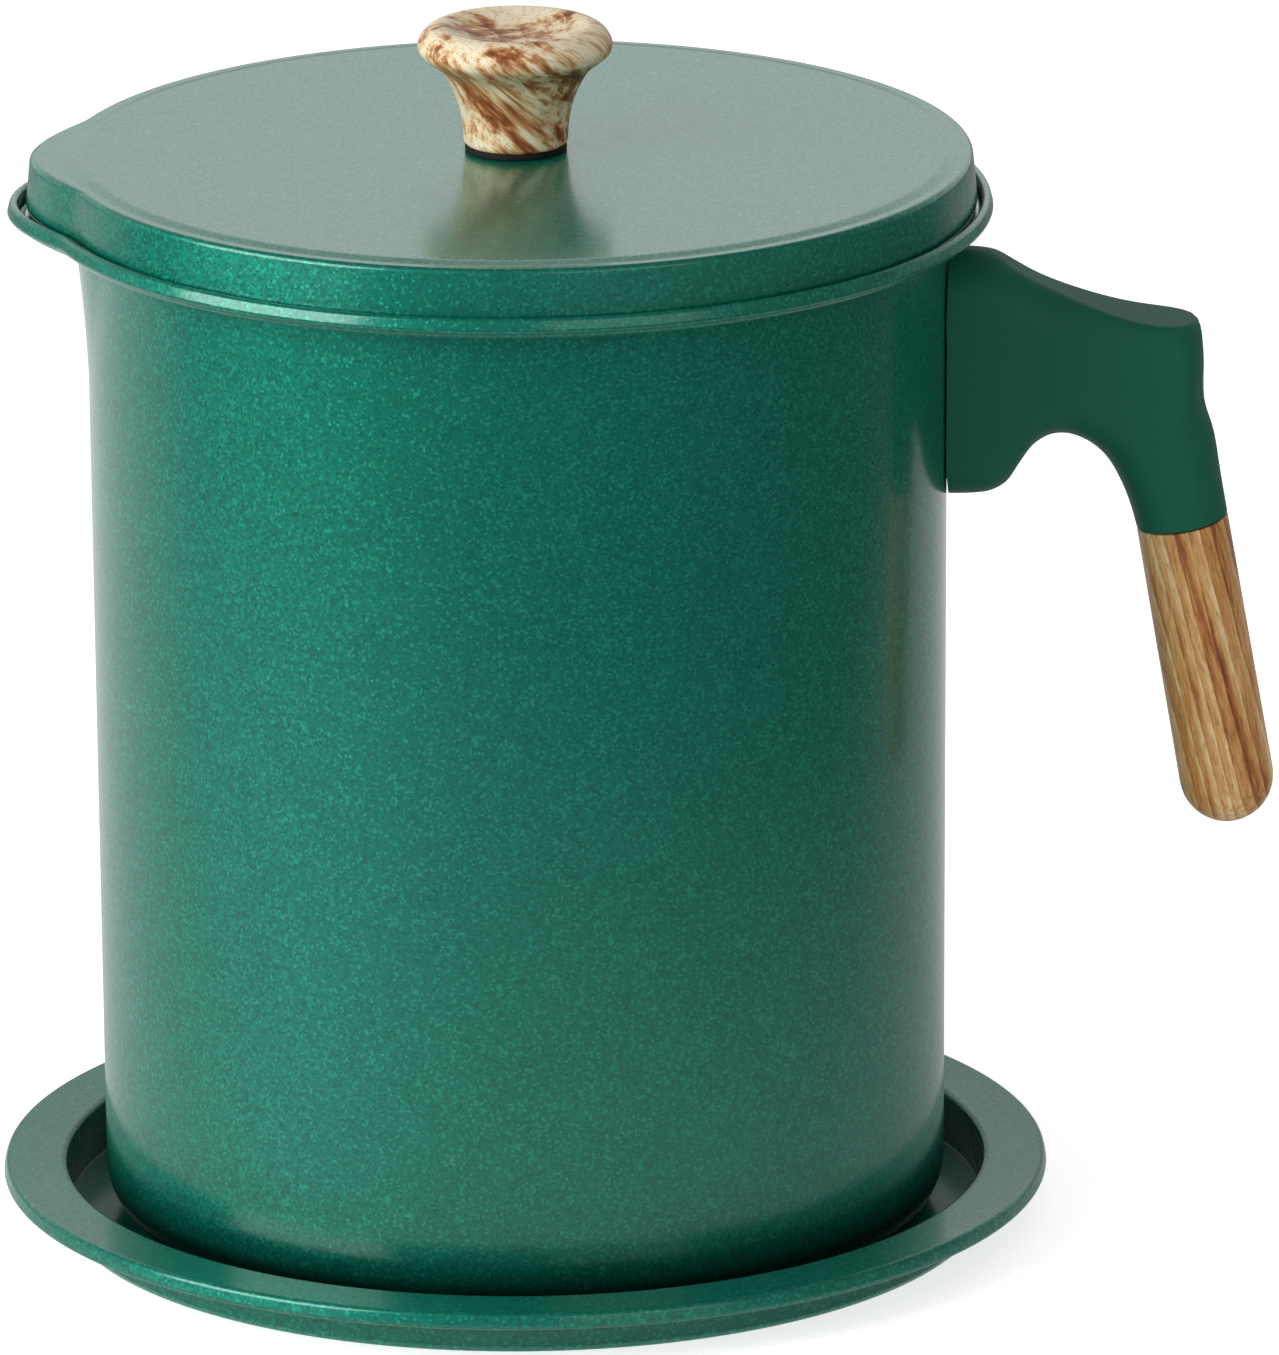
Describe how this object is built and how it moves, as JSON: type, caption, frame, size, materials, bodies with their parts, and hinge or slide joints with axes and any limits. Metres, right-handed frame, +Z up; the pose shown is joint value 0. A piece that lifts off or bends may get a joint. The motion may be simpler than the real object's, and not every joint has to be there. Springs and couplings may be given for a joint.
{
  "type": "bacon grease container",
  "caption": "Lidded round pot with a pouring lip, a side handle and a lift-out strainer, standing in a shallow drip tray.",
  "frame": {"origin": "on the pot's axis at the underside of the drip tray, where the container stands", "axes": "+Z up along the pot's axis, +X towards the handle, -X towards the pouring lip"},
  "size_m": [0.2034, 0.1674, 0.1952],
  "materials": {
    "green_paint": "pearl metallic green stove enamel on pressed steel",
    "green_moulding": "satin moulded phenolic",
    "wood_print": "wood-grain print under satin lacquer on moulded phenolic",
    "stainless": "drawn stainless steel",
    "zinc_steel": "zinc-plated steel",
    "brass": "knurled brass insert",
    "black_rubber": "matte rubber"
  },
  "bodies": {
    "tray": {"tray_pan": "green_paint"},
    "pot": {"pot_body": "green_paint", "handle_bracket": "stainless", "handle_weld_nut": "zinc_steel", "handle_arm": "green_moulding", "handle_flat_washer": "zinc_steel", "handle_spring_washer": "zinc_steel", "handle_screw": "zinc_steel", "handle_screw_plug": "green_moulding", "handle_grip": "wood_print"},
    "strainer": {"strainer_cup": "stainless", "strainer_mesh": "stainless", "strainer_clamp_ring": "stainless"},
    "lid": {"lid_shell": "green_paint", "lid_knob": "wood_print", "knob_gasket": "black_rubber", "knob_insert": "brass", "knob_screw": "zinc_steel", "knob_screw_washer": "zinc_steel"}
  },
  "joints": [
    {"name": "pot_lift", "type": "slide", "parent": "tray", "child": "pot", "axis": [0, 0, 1], "range_m": [0, 0.04]},
    {"name": "strainer_lift", "type": "slide", "parent": "pot", "child": "strainer", "axis": [0, 0, 1], "range_m": [0, 0.06]},
    {"name": "lid_lift", "type": "slide", "parent": "strainer", "child": "lid", "axis": [0, 0, 1], "range_m": [0, 0.06]}
  ]
}
